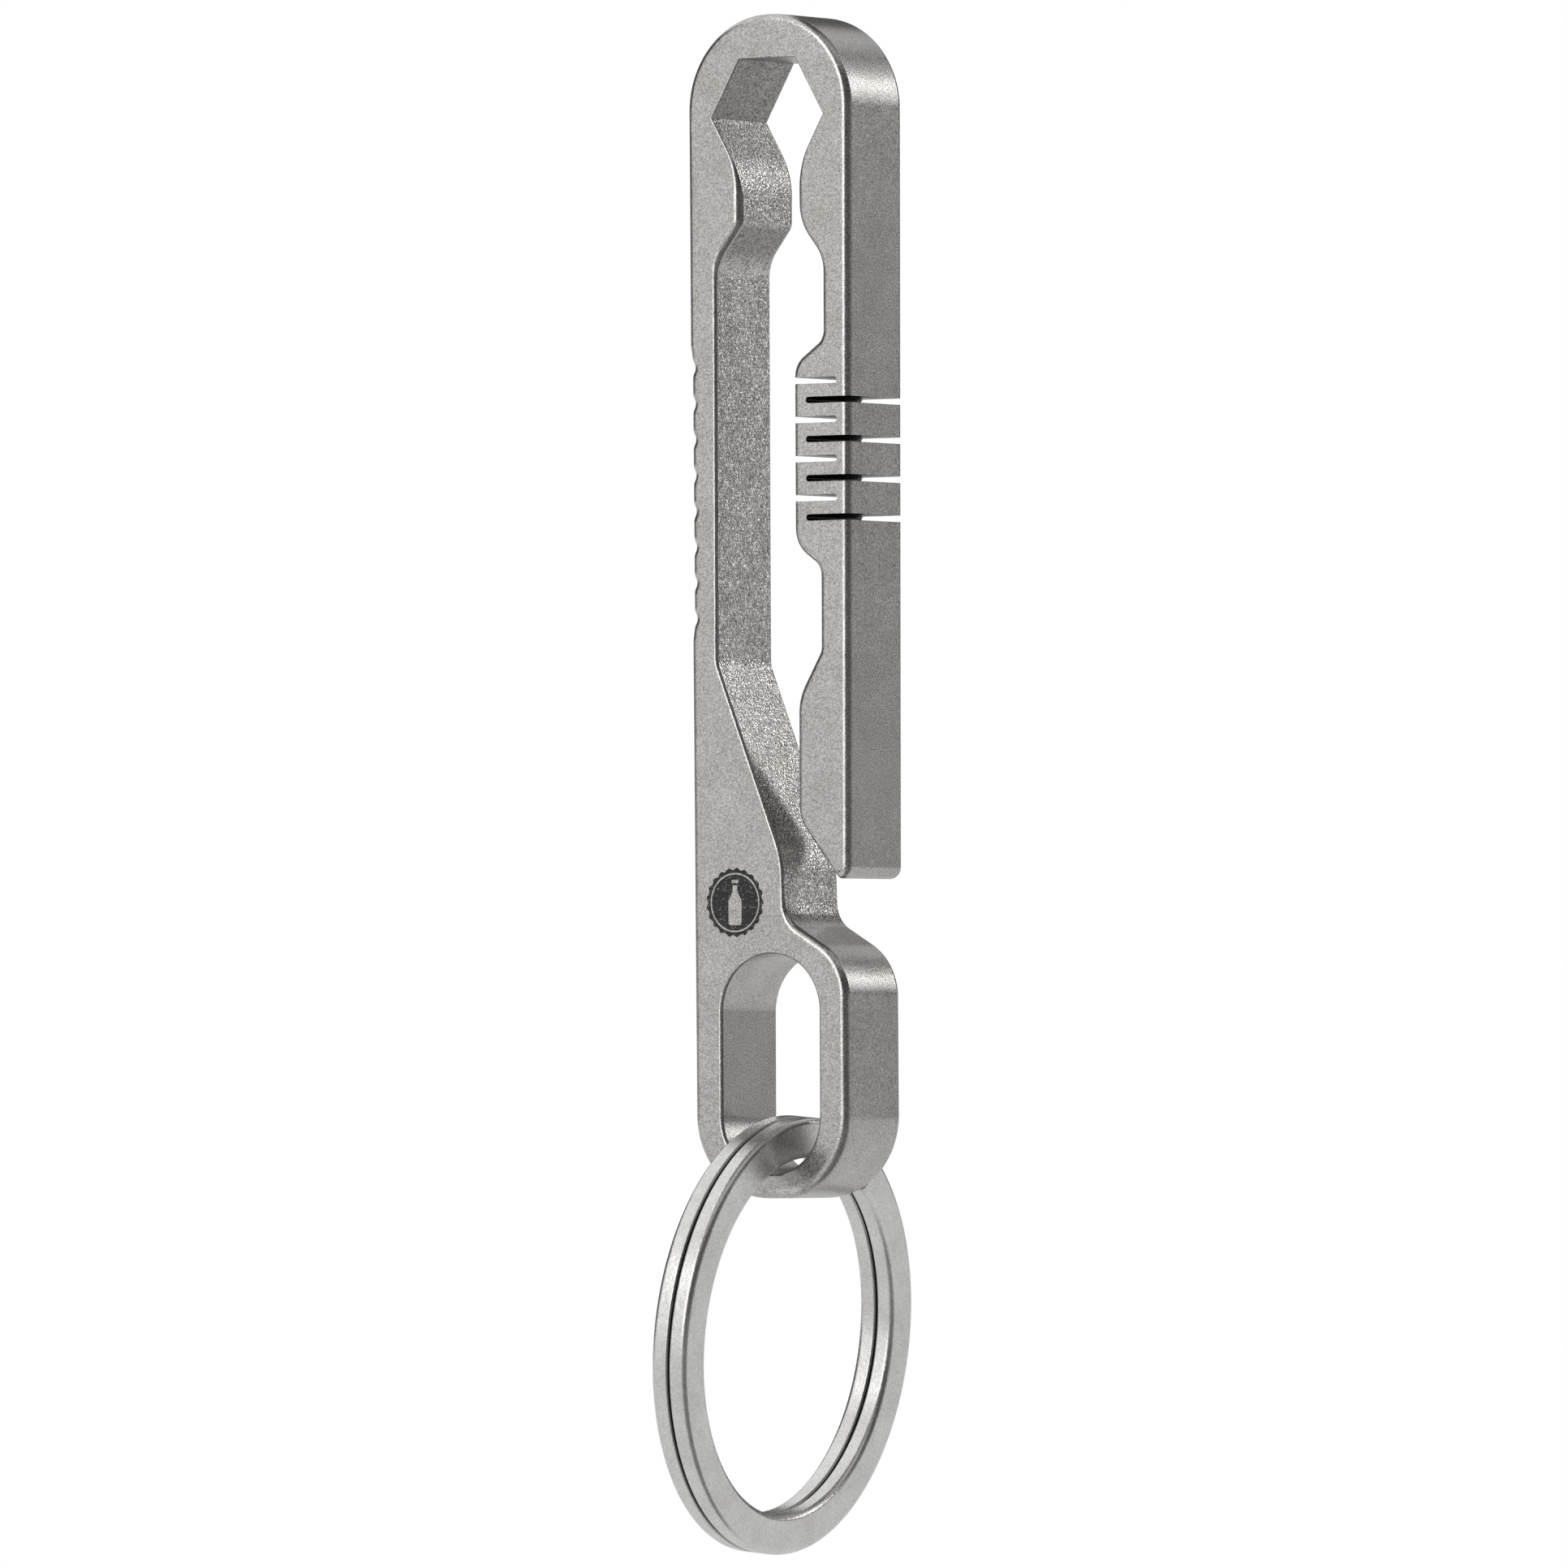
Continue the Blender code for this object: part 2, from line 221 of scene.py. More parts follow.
class Outline:
    """A closed line in the XZ plane with the material on the right of its direction of travel.

    Edge i runs from point i to the next one, and has its own rounding and grain. A point of an arc
    carries the arc's outward normal; a real corner has none of its own.
    """

    def __init__(self):
        self.points = []
        self.normals = []
        self.rounds = []
        self.grains = []

    def add(self, point, edge_round, grain, normal=None):
        self.points.append(Vector(point))
        self.normals.append(normal)
        self.rounds.append(edge_round)
        self.grains.append(grain)

    def edge_normal(self, i):
        along = self.points[(i + 1) % len(self.points)] - self.points[i]
        return Vector((-along.y, along.x)).normalized()

    def sides(self, i):
        """The outward normal and the rounding just before and just after point i."""
        if self.normals[i] is None:
            before = self.edge_normal(i - 1), self.rounds[i - 1]
            return before, (self.edge_normal(i), self.rounds[i])
        here = self.normals[i], (self.rounds[i - 1] + self.rounds[i]) / 2
        return here, here


def corner_arc(before, corner, after, radius, arc_step):
    """Points and outward normals of the arc that rounds one corner of an outline."""
    corner_at = Vector(corner)
    to_before = (Vector(before) - corner_at).normalized()
    to_after = (Vector(after) - corner_at).normalized()
    half_angle = to_before.angle(to_after) / 2
    centre = corner_at + (to_before + to_after).normalized() * (radius / math.sin(half_angle))
    first = corner_at + to_before * (radius / math.tan(half_angle)) - centre
    outwards = 1 if to_before.cross(to_after) > 0 else -1
    turn = outwards * (math.pi - 2 * half_angle)
    steps = max(2, math.ceil(abs(turn) / arc_step))
    arms = [Matrix.Rotation(-turn * step / steps, 2) @ first for step in range(steps + 1)]
    return [(centre + arm, arm.normalized() * outwards) for arm in arms]


def trace(corners, arc_step=ARC_STEP):
    """An outline from (x, z, corner radius, rounding of the next edge, grain of the next edge)."""
    outline = Outline()
    for index, (x, z, radius, edge_round, grain) in enumerate(corners):
        before = corners[index - 1]
        if radius == 0:
            outline.add((x, z), edge_round, grain)
            continue
        after = corners[(index + 1) % len(corners)]
        arc = corner_arc(before[:2], (x, z), after[:2], radius, arc_step)
        for step, (point, normal) in enumerate(arc):
            share = min(1.0, (step + 0.5) / (len(arc) - 1))
            blended_round = before[3] + (edge_round - before[3]) * share
            blended_grain = before[4] + (grain - before[4]) * share
            outline.add(point, blended_round, blended_grain, normal)
    return outline


def gate_side_x(z):
    """The outer edge of the gate side, which leans in slightly towards the tip."""
    share = (HEAD_TOP - z) / (HEAD_TOP - GATE_TIP_Z)
    return HEAD_HALF_WIDTH + (GATE_TIP_X - HEAD_HALF_WIDTH) * share


def spine_x(z):
    """The outer edge of the spine, which leans in slightly towards the ring eye."""
    straight_top = HEAD_TOP - HEAD_ROUND
    share = (straight_top - z) / (straight_top - EYE_END_BOTTOM)
    return -HEAD_HALF_WIDTH + (HEAD_HALF_WIDTH - EYE_END_HALF_WIDTH) * share


def slot_z(index):
    return SLOT_FIRST_Z - index * SLOT_STEP


def parting_z(index):
    """Where the plate is parted above slot number index: mid-leaf, or just outside the end slots."""
    if index == 0:
        return slot_z(0) + SLOT_WIDTH / 2 + PARTING_MARGIN
    if index == SLOT_COUNT:
        return slot_z(SLOT_COUNT - 1) - SLOT_WIDTH / 2 - PARTING_MARGIN
    return (slot_z(index - 1) + slot_z(index)) / 2


def socket_corners():
    """Up the gate side of the jaw, round the hex socket and down the spine side of the jaw."""
    apothem = HEX_ACROSS_FLATS / 2
    side = apothem / math.cos(math.radians(30))
    slope = math.tan(math.radians(60))
    return [
        (GATE_JAW_X, JAW_BOTTOM, JAW_GATE_ROUND, SOFT, COARSE),
        (GATE_JAW_X, (GATE_JAW_X - side) * slope, SOCKET_RUN_OUT_ROUND, CRISP, MEDIUM),
        (side, 0, 0, CRISP, MEDIUM),
        (side / 2, apothem, 0, CRISP, MEDIUM),
        (-side / 2, apothem, 0, CRISP, MEDIUM),
        (-side, 0, 0, CRISP, COARSE),
        (SPINE_JAW_X, -(SPINE_JAW_X + side) * slope, SOCKET_RUN_OUT_ROUND, SOFT, COARSE),
        (SPINE_JAW_X, JAW_BOTTOM, JAW_SPINE_ROUND, SOFT, MEDIUM),
    ]


def notch_corners():
    """The grip notches from the lowest to the highest."""
    bottom = NOTCH_FIRST_Z - (NOTCH_COUNT - 1) * NOTCH_PITCH - GRIP_END
    top = NOTCH_FIRST_Z + GRIP_END
    corners = [(spine_x(bottom), bottom, GRIP_END_ROUND, SOFT, FINE)]
    for index in reversed(range(NOTCH_COUNT)):
        z = NOTCH_FIRST_Z - index * NOTCH_PITCH
        edge = spine_x(z) + GRIP_INSET
        corners.append((edge, z - NOTCH_HALF_WIDTH, NOTCH_SHOULDER_ROUND, SOFT, FINE))
        corners.append((edge + NOTCH_DEPTH, z, NOTCH_ROUND, SOFT, FINE))
        corners.append((edge, z + NOTCH_HALF_WIDTH, NOTCH_SHOULDER_ROUND, SOFT, FINE))
    corners.append((spine_x(top), top, GRIP_END_ROUND, SOFT, FINE))
    return corners


def spine_outline():
    """The head, socket, jaw, spine, ramp, hook and ring eye end, parted just above the first slot."""
    part_z = parting_z(0)
    head = [
        (-HEAD_HALF_WIDTH, HEAD_TOP, HEAD_ROUND, SOFT, FINE),
        (HEAD_HALF_WIDTH, HEAD_TOP, HEAD_ROUND, SOFT, FINE),
        (gate_side_x(part_z), part_z, 0, CUT, FINE),
        (FLEXURE_INNER_X, part_z, 0, SOFT, FINE),
        (FLEXURE_INNER_X, -13.7, 1.36, SOFT, FINE),
        (GATE_INNER_X, -12.35, 0.9, SOFT, FINE),
        (GATE_INNER_X, -7.9, 2.2, SOFT, FINE),
    ]
    hook = [
        (SPINE_INNER_X, -8.0, 2.6, EASED, COARSE),
        (SPINE_INNER_X, SPINE_RAMP_TOP, 1.6, EASED, COARSE),
        (0.8, -40.9, 5.5, EASED, COARSE),
        (0.9, -44.2, 1.8, SOFT, FINE),
        (5.02, -46.6, 3.4, SOFT, FINE),
        (EYE_END_GATE_X, EYE_END_BOTTOM, EYE_END_ROUND, BOLD, FINE),
        (-EYE_END_HALF_WIDTH, EYE_END_BOTTOM, EYE_END_ROUND, SOFT, FINE),
    ]
    return trace(head + socket_corners() + hook + notch_corners())


def eye_outline():
    """The ring eye, counterclockwise because the material is outside it."""
    left = EYE_CENTRE_X - EYE_HALF_WIDTH
    right = EYE_CENTRE_X + EYE_HALF_WIDTH
    return trace([
        (left, EYE_TOP, EYE_ROUND, EASED, SMOOTH),
        (left, EYE_BOTTOM, EYE_ROUND, EASED, FINE),
        (right, EYE_BOTTOM, EYE_ROUND, EASED, FINE),
        (right, EYE_TOP, EYE_ROUND, EASED, SMOOTH),
    ])


def gate_outline():
    """The gate arm below the last slot: down its outside, round its tip and up its inside."""
    part_z = parting_z(SLOT_COUNT)
    return trace([
        (gate_side_x(part_z), part_z, 0, SOFT, FINE),
        (GATE_TIP_X, GATE_TIP_Z, 0.66, SOFT, FINE),
        (4.42, GATE_TIP_Z, 0.32, SOFT, FINE),
        (GATE_THICK_X, -38.75, 2.2, SOFT, FINE),
        (GATE_THICK_X, -32.1, 3.0, SOFT, FINE),
        (GATE_THIN_X, -29.5, 0.8, SOFT, FINE),
        (GATE_THIN_X, -24.9, 0.9, SOFT, FINE),
        (FLEXURE_INNER_X, -23.7, 1.8, SOFT, FINE),
        (FLEXURE_INNER_X, part_z, 0, CUT, FINE),
    ])


def web_outline(index):
    """One slot with half a leaf above and half a leaf below."""
    top = parting_z(index)
    bottom = parting_z(index + 1)
    slot_top = slot_z(index) + SLOT_WIDTH / 2
    slot_bottom = slot_z(index) - SLOT_WIDTH / 2
    top_right = (gate_side_x(top), top, 0, SOFT, FINE)
    bottom_right = (gate_side_x(bottom), bottom, 0, CUT, FINE)
    bottom_left = (FLEXURE_INNER_X, bottom, 0, SOFT, FINE)
    top_left = (FLEXURE_INNER_X, top, 0, CUT, FINE)
    # The slot's walls are given painted shade, nearly black.
    opens_inwards = index % 2 == 0
    if opens_inwards:
        return trace([
            top_right,
            bottom_right,
            bottom_left,
            (FLEXURE_INNER_X, slot_bottom, 0, CUT, PAINTED_GAP_SHADE),
            (SLOT_INNER_END_X, slot_bottom, SLOT_END_ROUND, CUT, PAINTED_GAP_SHADE),
            (SLOT_INNER_END_X, slot_top, SLOT_END_ROUND, CUT, PAINTED_GAP_SHADE),
            (FLEXURE_INNER_X, slot_top, 0, SOFT, FINE),
            top_left,
        ])
    return trace([
        top_right,
        (gate_side_x(slot_top), slot_top, 0, CUT, PAINTED_GAP_SHADE),
        (SLOT_OUTER_END_X, slot_top, SLOT_END_ROUND, CUT, PAINTED_GAP_SHADE),
        (SLOT_OUTER_END_X, slot_bottom, SLOT_END_ROUND, CUT, PAINTED_GAP_SHADE),
        (gate_side_x(slot_bottom), slot_bottom, 0, SOFT, FINE),
        bottom_right,
        bottom_left,
        top_left,
    ])


# ---------------------------------------------------------------- plate meshes

class Build:
    """A mesh in the making, which keeps a grain for each face, and a normal and a share of wear and
    painted highlight for each corner.
    """

    def __init__(self):
        self.mesh = bmesh.new()
        self.grain = self.mesh.faces.layers.float.new("grain")
        self.wear_and_highlight = self.mesh.loops.layers.float.new("wear_and_highlight")
        self.normal = self.mesh.loops.layers.float_vector.new("corner_normal")

    def verts(self, points, y):
        return [self.mesh.verts.new((point.x, y, point.y)) for point in points]

    def face(self, verts, normals, grain, wear_and_highlight=(0, 0, 0, 0)):
        face = self.mesh.faces.new(verts)
        face[self.grain] = grain
        for loop, normal, worn_and_highlighted in zip(face.loops, normals, wear_and_highlight):
            loop[self.normal] = normal
            loop[self.wear_and_highlight] = worn_and_highlighted

    def rim(self, ring):
        return [self.mesh.edges.get((ring[i - 1], ring[i])) for i in range(len(ring))]

    def fill(self, rims, facing, material_index=0):
        """Flat triangles between closed rims, which face to the front (-1) or the back (1)."""
        made = bmesh.ops.triangle_fill(self.mesh, use_beauty=True, use_dissolve=False, edges=rims)
        for face in made["geom"]:
            if isinstance(face, bmesh.types.BMFace):
                face[self.grain] = FINE
                face.material_index = material_index
                for loop in face.loops:
                    loop[self.normal] = (0, facing, 0)

    def finish(self, name, materials, lift):
        """The piece in the frame, with the normals its corners were given."""
        bmesh.ops.recalc_face_normals(self.mesh, faces=self.mesh.faces)
        mesh = bpy.data.meshes.new(name)
        self.mesh.to_mesh(mesh)
        self.mesh.free()
        mesh.transform(Matrix.Translation((0, 0, lift)) @ Matrix.Scale(MM, 4))
        mesh.shade_smooth()
        normals = [tuple(corner.vector) for corner in mesh.attributes["corner_normal"].data]
        mesh.attributes.remove(mesh.attributes["corner_normal"])
        mesh.normals_split_custom_set(normals)
        for material in materials:
            mesh.materials.append(material)
        piece = bpy.data.objects.new(name, mesh)
        bpy.context.scene.collection.objects.link(piece)
        return piece


def rounding_inset(edge_round, depth):
    """How far a rounded edge has drawn in at a given depth below the face."""
    left = max(0.0, edge_round - depth)
    return edge_round - math.sqrt(max(0.0, edge_round ** 2 - left ** 2))


def drawn_in(outline, depth):
    """The outline's points, drawn in by their edges' rounding at that depth."""
    moved = []
    for i, point in enumerate(outline.points):
        (normal_before, round_before), (normal_after, round_after) = outline.sides(i)
        before = rounding_inset(round_before, depth)
        after = rounding_inset(round_after, depth)
        turn = normal_before.cross(normal_after)
        if abs(turn) < NEARLY_STRAIGHT:
            moved.append(point - normal_before * (before + after) / 2)
            continue
        moved.append(point + Vector((
            (after * normal_before.y - before * normal_after.y) / turn,
            (before * normal_after.x - after * normal_before.x) / turn,
        )))
    return moved


def edge_depths():
    """Depths below a face at which its rounded edges are sampled evenly round their arcs."""
    shares = [1 - math.sin(math.pi / 2 * step / EDGE_STEPS) for step in range(EDGE_STEPS + 1)]
    return sorted({round(edge_round * share, 6) for edge_round in (EASED, SOFT, BOLD) for share in shares})


def corner_look(side, depth, facing):
    """The normal, and the wear and painted highlight, of the plate's side at a depth below the face on
    that side.
    """
    normal, edge_round = side
    tilt = max(0.0, 1 - depth / edge_round) if edge_round else 0.0
    level = math.sqrt(1 - tilt * tilt)
    # A thin band on the rounding near the face: partly real wear, partly a painted highlight.
    wear_and_highlight = WEAR_AND_HIGHLIGHT_STRENGTH * tilt ** WEAR_AND_HIGHLIGHT_NARROWNESS * level ** 2
    return (normal.x * level, facing * tilt, normal.y * level), wear_and_highlight


def join_levels(build, outline, first, second):
    """One strip of the side. A level is (verts, depth, facing). Coarse grain keeps off rounded edges."""
    count = len(outline.points)
    for i in range(count):
        following = (i + 1) % count
        here, there = outline.sides(i)[1], outline.sides(following)[0]
        looks = [
            corner_look(here, *first[1:]),
            corner_look(there, *first[1:]),
            corner_look(there, *second[1:]),
            corner_look(here, *second[1:]),
        ]
        verts = (first[0][i], first[0][following], second[0][following], second[0][i])
        is_wall = min(first[1], second[1]) >= WALL_STARTS * max(here[1], there[1])
        grain = outline.grains[i] if is_wall else min(FINE, outline.grains[i])
        build.face(verts, [look[0] for look in looks], grain, [look[1] for look in looks])


def sweep_edge(build, outline):
    """The side of the plate along one outline, with both edges rounded. Returns the two rims."""
    levels = []
    for facing in (-1, 1):
        depths = edge_depths() if facing < 0 else reversed(edge_depths())
        for depth in depths:
            y = facing * (THICKNESS / 2 - depth)
            levels.append((build.verts(drawn_in(outline, depth), y), depth, facing))
    for first, second in zip(levels, levels[1:]):
        join_levels(build, outline, first, second)
    return build.rim(levels[0][0]), build.rim(levels[-1][0])


def mark_round_points(radius, scallop_depth=0.0):
    """A circle, with shallow scallops where it is the rim of a crown cap."""
    points = []
    for step in range(MARK_STEPS):
        angle = 2 * math.pi * step / MARK_STEPS
        reach = radius + scallop_depth * math.cos(MARK_SCALLOPS * angle)
        points.append(Vector((math.cos(angle) * reach, math.sin(angle) * reach)))
    return points


def mark_bottle_points():
    return trace([
        (-0.44, -1.25, 0.16, CUT, FINE),
        (-0.44, 0.1, 0.3, CUT, FINE),
        (-0.17, 0.6, 0.3, CUT, FINE),
        (-0.15, 0.95, 0.04, CUT, FINE),
        (0.15, 0.95, 0.04, CUT, FINE),
        (0.17, 0.6, 0.3, CUT, FINE),
        (0.44, 0.1, 0.3, CUT, FINE),
        (0.44, -1.25, 0.16, CUT, FINE),
    ]).points


def mark_stopper_points():
    return trace([
        (-0.22, 1.07, 0.05, CUT, FINE),
        (-0.22, 1.25, 0.05, CUT, FINE),
        (0.22, 1.25, 0.05, CUT, FINE),
        (0.22, 1.07, 0.05, CUT, FINE),
    ]).points


def mark_wall(build, shape):
    """The wall of the etched recess along one shape. Returns its rims on the face and on the floor."""
    points = [Vector(MARK_CENTRE) + point for point in shape]
    top = build.verts(points, -THICKNESS / 2)
    foot = build.verts(points, -THICKNESS / 2 + MARK_DEPTH)
    count = len(points)
    for i in range(count):
        following = (i + 1) % count
        along = (points[following] - points[i]).normalized()
        normals = [(-along.y, 0, along.x)] * 4
        build.face((top[i], top[following], foot[following], foot[i]), normals, FINE)
    return build.rim(top), build.rim(foot)


def engrave_mark(build):
    """The etched recess in the front face. Returns the rim that the face is filled up to."""
    cap_top, cap_foot = mark_wall(build, mark_round_points(MARK_RADIUS, MARK_SCALLOP_DEPTH))
    inside_top, inside_foot = mark_wall(build, mark_round_points(MARK_LINE_RADII[0]))
    outside_top, outside_foot = mark_wall(build, mark_round_points(MARK_LINE_RADII[1]))
    build.fill(inside_top + outside_top, -1)
    build.fill(cap_foot + outside_foot, -1, material_index=1)
    for shape in (mark_bottle_points(), mark_stopper_points()):
        island_top, island_foot = mark_wall(build, shape)
        build.fill(island_top, -1)
        inside_foot += island_foot
    build.fill(inside_foot, -1, material_index=1)
    return cap_top


def plate_piece(name, outline, materials, lift, holes=(), marked=False):
    """One region of the plate, from its outline and holes."""
    build = Build()
    front_rims = []
    back_rims = []
    for loop in (outline, *holes):
        front, back = sweep_edge(build, loop)
        front_rims += front
        back_rims += back
    if marked:
        front_rims += engrave_mark(build)
    build.fill(front_rims, -1)
    build.fill(back_rims, 1)
    return build.finish(name, materials, lift)


# ---------------------------------------------------------------- split ring

def wire_section(shrink, crossed):
    """The wire's section in the plane of the ring's axis (x) and its radius (y).

    Tumbling has worn the corners at the ring's two faces more than those at the seam. The wire has its
    face side at -X before the crossover and at +X when it has crossed, and painted shade darkens the seam
    between them.
    """
    low_round = RING_FACE_ROUND + (RING_SEAM_ROUND - RING_FACE_ROUND) * crossed
    high_round = RING_FACE_ROUND + RING_SEAM_ROUND - low_round
    # The seam side of each turn gets painted shade, nearly black, where the other turn closes the gap.
    low_grain = PAINTED_GAP_SHADE if crossed == 1 else SMOOTH
    high_grain = PAINTED_GAP_SHADE if crossed == 0 else SMOOTH
    half = RING_WIRE_THICKNESS / 2 - shrink
    outer = RING_OUTER_RADIUS - shrink
    inner = RING_OUTER_RADIUS - RING_WIRE_WIDTH + shrink
    return trace([
        (-half, inner, low_round, CUT, low_grain),
        (-half, outer, low_round, CUT, SMOOTH),
        (half, outer, high_round, CUT, high_grain),
        (half, inner, high_round, CUT, SMOOTH),
    ], WIRE_ARC_STEP)


def smoothstep(share):
    share = min(1.0, max(0.0, share))
    return share * share * (3 - 2 * share)


def ring_station(shrink, angle, turn):
    """Points, normals and grains round the wire after turning by an angle from its first end."""
    crossed = smoothstep((angle - turn) / RING_CROSSOVER)
    section = wire_section(shrink, crossed)
    shift = (RING_WIRE_THICKNESS + RING_LAYER_GAP) * (crossed - 0.5)
    turned = Matrix.Rotation(RING_ENDS_AT + angle, 3, "X")
    placed = Euler((0, RING_LEAN, RING_YAW)).to_matrix()
    points = []
    normals = []
    for point, normal in zip(section.points, section.normals):
        along = turned @ Vector((0, 0, point.y)) + Vector((point.x + shift, 0, 0))
        points.append(Vector(RING_CENTRE) + placed @ along)
        normals.append(placed @ (turned @ Vector((normal.x, 0, normal.y))))
    return points, normals, section.grains


def ring_stations():
    """Sections along the wire: two turns, a crossover between them and a chamfer at each end."""
    turn = 2 * math.pi - RING_CROSSOVER
    total = 2 * turn + RING_CROSSOVER
    steps = round(total / RING_STEP)
    chamfer = RING_END_CHAMFER / RING_OUTER_RADIUS
    angles = [(0.0, RING_END_CHAMFER)]
    angles += [(chamfer + (total - 2 * chamfer) * step / steps, 0.0) for step in range(steps + 1)]
    angles.append((total, RING_END_CHAMFER))
    return [ring_station(shrink, angle, turn) for angle, shrink in angles]


def split_ring_piece(material, lift):
    """Two turns of flat wire side by side, joined by a crossover where both ends stop."""
    build = Build()
    stations = ring_stations()
    rings = [[build.mesh.verts.new(point) for point in station[0]] for station in stations]
    count = len(rings[0])
    for k in range(len(rings) - 1):
        near, far = stations[k][1], stations[k + 1][1]
        grains = stations[k][2]
        for i in range(count):
            following = (i + 1) % count
            verts = (rings[k][i], rings[k][following], rings[k + 1][following], rings[k + 1][i])
            build.face(verts, (near[i], near[following], far[following], far[i]), grains[i])
    # The two ends are given no normals, so they keep the automatic ones.
    for end in (rings[0], rings[-1]):
        build.mesh.faces.new(end)
    return build.finish("split_ring_wire", [material], lift)


# ---------------------------------------------------------------- materials

class Shader:
    """A material's nodes, added by calls that return an output socket."""

    def __init__(self, name):
        self.material = bpy.data.materials.new(name)
        self.material.use_nodes = True
        self.tree = self.material.node_tree
        self.surface = self.tree.nodes["Principled BSDF"]
        coordinates = self.tree.nodes.new("ShaderNodeTexCoord")
        self.place = self.vector("SCALE", coordinates.outputs["Object"], scale=1 / MM)

    def feed(self, socket, value):
        if isinstance(value, bpy.types.NodeSocket):
            self.tree.links.new(value, socket)
        else:
            socket.default_value = value

    def vector(self, operation, a, b=None, scale=None):
        node = self.tree.nodes.new("ShaderNodeVectorMath")
        node.operation = operation
        self.feed(node.inputs[0], a)
        if b is not None:
            self.feed(node.inputs[1], b)
        if scale is not None:
            self.feed(node.inputs["Scale"], scale)
        return node.outputs[0]

    def measure(self, operation, a, b=(0, 0, 0)):
        """A number from vectors, such as a length."""
        node = self.tree.nodes.new("ShaderNodeVectorMath")
        node.operation = operation
        self.feed(node.inputs[0], a)
        self.feed(node.inputs[1], b)
        return node.outputs["Value"]

    def math(self, operation, a, b=0.0):
        node = self.tree.nodes.new("ShaderNodeMath")
        node.operation = operation
        self.feed(node.inputs[0], a)
        self.feed(node.inputs[1], b)
        return node.outputs[0]

    def distance(self, a, b):
        """How far apart two numbers are."""
        return self.math("ABSOLUTE", self.math("SUBTRACT", a, b))

    def noise(self, per_mm, detail=2.0, roughness=0.5, stretch=(1, 1, 1)):
        node = self.tree.nodes.new("ShaderNodeTexNoise")
        self.feed(node.inputs["Vector"], self.vector("MULTIPLY", self.place, stretch))
        self.feed(node.inputs["Scale"], per_mm)
        self.feed(node.inputs["Detail"], detail)
        self.feed(node.inputs["Roughness"], roughness)
        return node.outputs["Fac"]

    def spread(self, value, low, high, to_low=0.0, to_high=1.0, interpolation="LINEAR"):
        """Maps a value from low..high onto to_low..to_high, and clamps it."""
        node = self.tree.nodes.new("ShaderNodeMapRange")
        node.interpolation_type = interpolation
        for name, given in zip(
            ("Value", "From Min", "From Max", "To Min", "To Max"),
            (value, low, high, to_low, to_high),
        ):
            self.feed(node.inputs[name], given)
        return node.outputs["Result"]

    def blend(self, share, a, b):
        """A colour between a and b."""
        node = self.tree.nodes.new("ShaderNodeMix")
        node.data_type = "RGBA"
        self.feed(node.inputs["Factor"], share)
        self.feed(node.inputs["A"], (*a, 1) if isinstance(a, tuple) else a)
        self.feed(node.inputs["B"], (*b, 1) if isinstance(b, tuple) else b)
        return node.outputs["Result"]

    def brighten(self, colour, gain):
        """A colour times a number."""
        return self.vector("SCALE", colour, scale=gain)

    def attribute(self, name):
        node = self.tree.nodes.new("ShaderNodeAttribute")
        node.attribute_name = name
        return node.outputs["Fac"]

    def bump(self, height, depth_mm):
        node = self.tree.nodes.new("ShaderNodeBump")
        self.feed(node.inputs["Strength"], 1.0)
        self.feed(node.inputs["Distance"], depth_mm)
        self.feed(node.inputs["Height"], height)
        self.feed(self.surface.inputs["Normal"], node.outputs["Normal"])

    def set(self, **values):
        for name, value in values.items():
            self.feed(self.surface.inputs[name.replace("_", " ").title()], value)

    def glow(self, strength, share):
        """Mixes a share of white glow into the surface."""
        light = self.tree.nodes.new("ShaderNodeEmission")
        self.feed(light.inputs["Strength"], strength)
        mix = self.tree.nodes.new("ShaderNodeMixShader")
        self.feed(mix.inputs[0], share)
        self.tree.links.new(self.surface.outputs[0], mix.inputs[1])
        self.tree.links.new(light.outputs[0], mix.inputs[2])
        self.tree.links.new(mix.outputs[0], self.tree.nodes["Material Output"].inputs["Surface"])


def titanium_tone(shader, grain, coarse, worn_and_highlighted, specks, worms):
    """The plate's colour: clouds, specks and pits, brighter on rounded edges (real wear and a painted
    highlight) and furrowed where coarse.
    """
    clouds = shader.noise(0.45, detail=4, roughness=0.6)
    pits = shader.noise(9, detail=1)
    tone = shader.blend(shader.spread(clouds, 0.35, 0.65), TITANIUM_DARK, TITANIUM_LIGHT)
    tone = shader.brighten(tone, shader.spread(specks, 0.25, 0.75, 0.5, 1.42))
    tone = shader.brighten(tone, shader.spread(pits, 0.26, 0.34, 0.75, 1.0))
    # Painted highlight along rounded edges, partly real wear: lighter there.
    tone = shader.brighten(tone, shader.spread(worn_and_highlighted, 0, 1, 1.0, 1.35))
    # Painted shade: slot walls and the ring's closed seam are painted nearly black.
    tone = shader.brighten(tone, shader.spread(grain, PAINTED_GAP_SHADE, SMOOTH, 0.03, 1.0))
    furrowed = shader.brighten(tone, shader.spread(worms, 0.0, 0.1, 0.5, 1.52))
    tone = shader.blend(coarse, tone, furrowed)
    from_medium = shader.distance(grain, MEDIUM)
    return shader.brighten(tone, shader.spread(from_medium, 0, MEDIUM - FINE, 0.48, 1.0))


